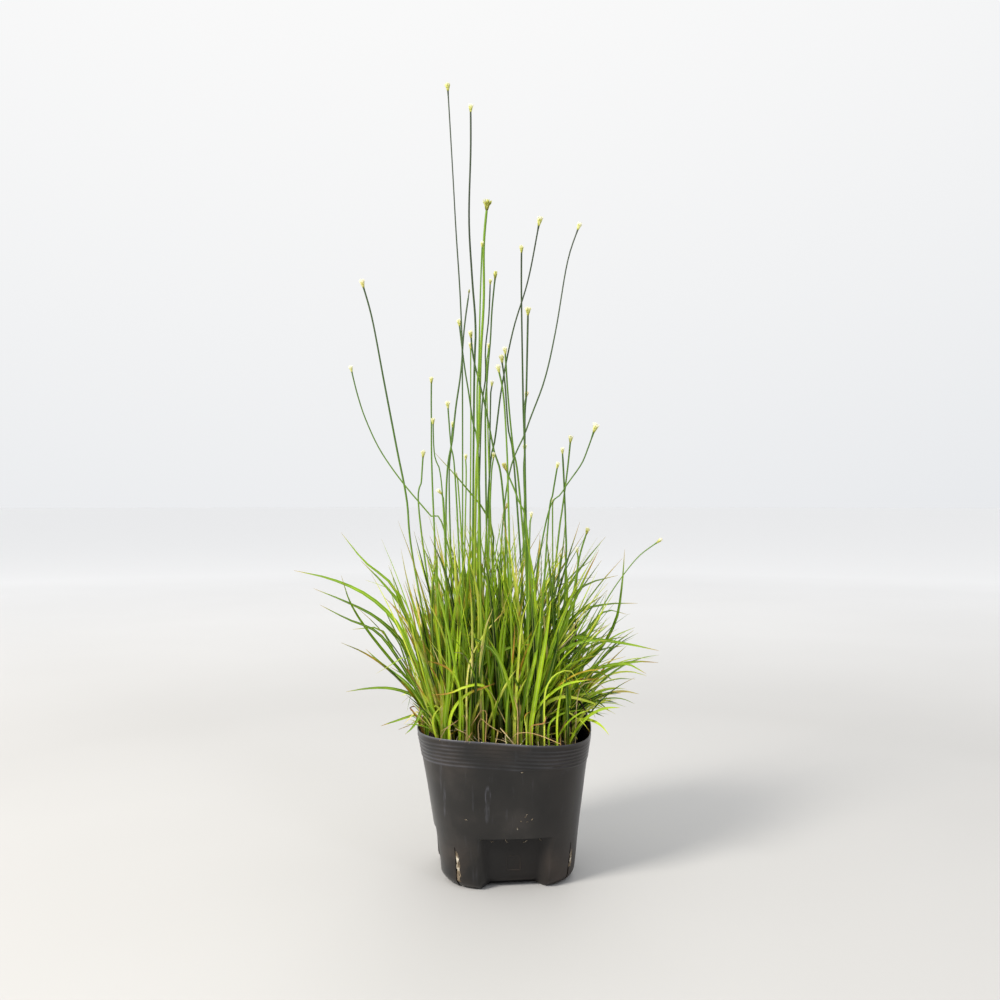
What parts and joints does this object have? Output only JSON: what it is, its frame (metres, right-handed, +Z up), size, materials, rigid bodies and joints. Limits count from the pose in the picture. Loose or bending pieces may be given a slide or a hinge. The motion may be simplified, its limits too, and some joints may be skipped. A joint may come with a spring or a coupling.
{
  "type": "potted pipewort",
  "caption": "Pipewort in a squarish soft black nursery pot: grassy leaf tufts and tall thin stalks with small cream button flower heads.",
  "frame": {"origin": "middle of the pot's flat underside, on the surface it stands on", "axes": "+Z up; -Y is the side the picture was taken from, +X to its right"},
  "size_m": [0.2257, 0.1498, 0.4733],
  "materials": {
    "black_polyethylene": "satin",
    "peat_soil": "matte",
    "leaf_green": "satin",
    "stalk_green": "satin"
  },
  "bodies": {
    "root": {"nursery_pot": "black_polyethylene", "potting_soil": "peat_soil", "leaf_tuft_01": "leaf_green", "leaf_tuft_02": "leaf_green", "leaf_tuft_03": "leaf_green", "leaf_tuft_04": "leaf_green", "leaf_tuft_05": "leaf_green", "leaf_tuft_06": "leaf_green", "leaf_tuft_07": "leaf_green", "leaf_tuft_08": "leaf_green", "leaf_tuft_09": "leaf_green", "leaf_tuft_10": "leaf_green", "leaf_tuft_11": "leaf_green", "leaf_tuft_12": "leaf_green", "leaf_tuft_13": "leaf_green", "leaf_tuft_14": "leaf_green", "flower_stalk_01": "stalk_green", "flower_stalk_02": "stalk_green", "flower_stalk_03": "stalk_green", "flower_stalk_04": "stalk_green", "flower_stalk_05": "stalk_green", "flower_stalk_06": "stalk_green", "flower_stalk_07": "stalk_green", "flower_stalk_08": "stalk_green", "flower_stalk_09": "stalk_green", "flower_stalk_10": "stalk_green", "flower_stalk_11": "stalk_green", "flower_stalk_12": "stalk_green", "flower_stalk_13": "stalk_green", "flower_stalk_14": "stalk_green", "flower_stalk_15": "stalk_green", "flower_stalk_16": "stalk_green", "flower_stalk_17": "stalk_green", "flower_stalk_18": "stalk_green", "flower_stalk_19": "stalk_green", "flower_stalk_20": "stalk_green", "flower_stalk_21": "stalk_green", "flower_stalk_22": "stalk_green", "flower_stalk_23": "stalk_green", "flower_stalk_24": "stalk_green", "flower_stalk_25": "stalk_green", "flower_stalk_26": "stalk_green", "flower_stalk_27": "stalk_green", "flower_stalk_28": "stalk_green", "flower_stalk_29": "stalk_green", "flower_stalk_30": "stalk_green", "flower_stalk_31": "stalk_green", "flower_stalk_32": "stalk_green", "flower_stalk_33": "stalk_green", "flower_stalk_34": "stalk_green", "flower_stalk_35": "stalk_green", "flower_stalk_36": "stalk_green", "flower_stalk_37": "stalk_green", "flower_stalk_38": "stalk_green", "flower_stalk_39": "stalk_green", "flower_stalk_40": "stalk_green", "flower_stalk_41": "stalk_green", "flower_stalk_42": "stalk_green", "flower_stalk_43": "stalk_green", "flower_stalk_44": "stalk_green"}
  },
  "joints": []
}
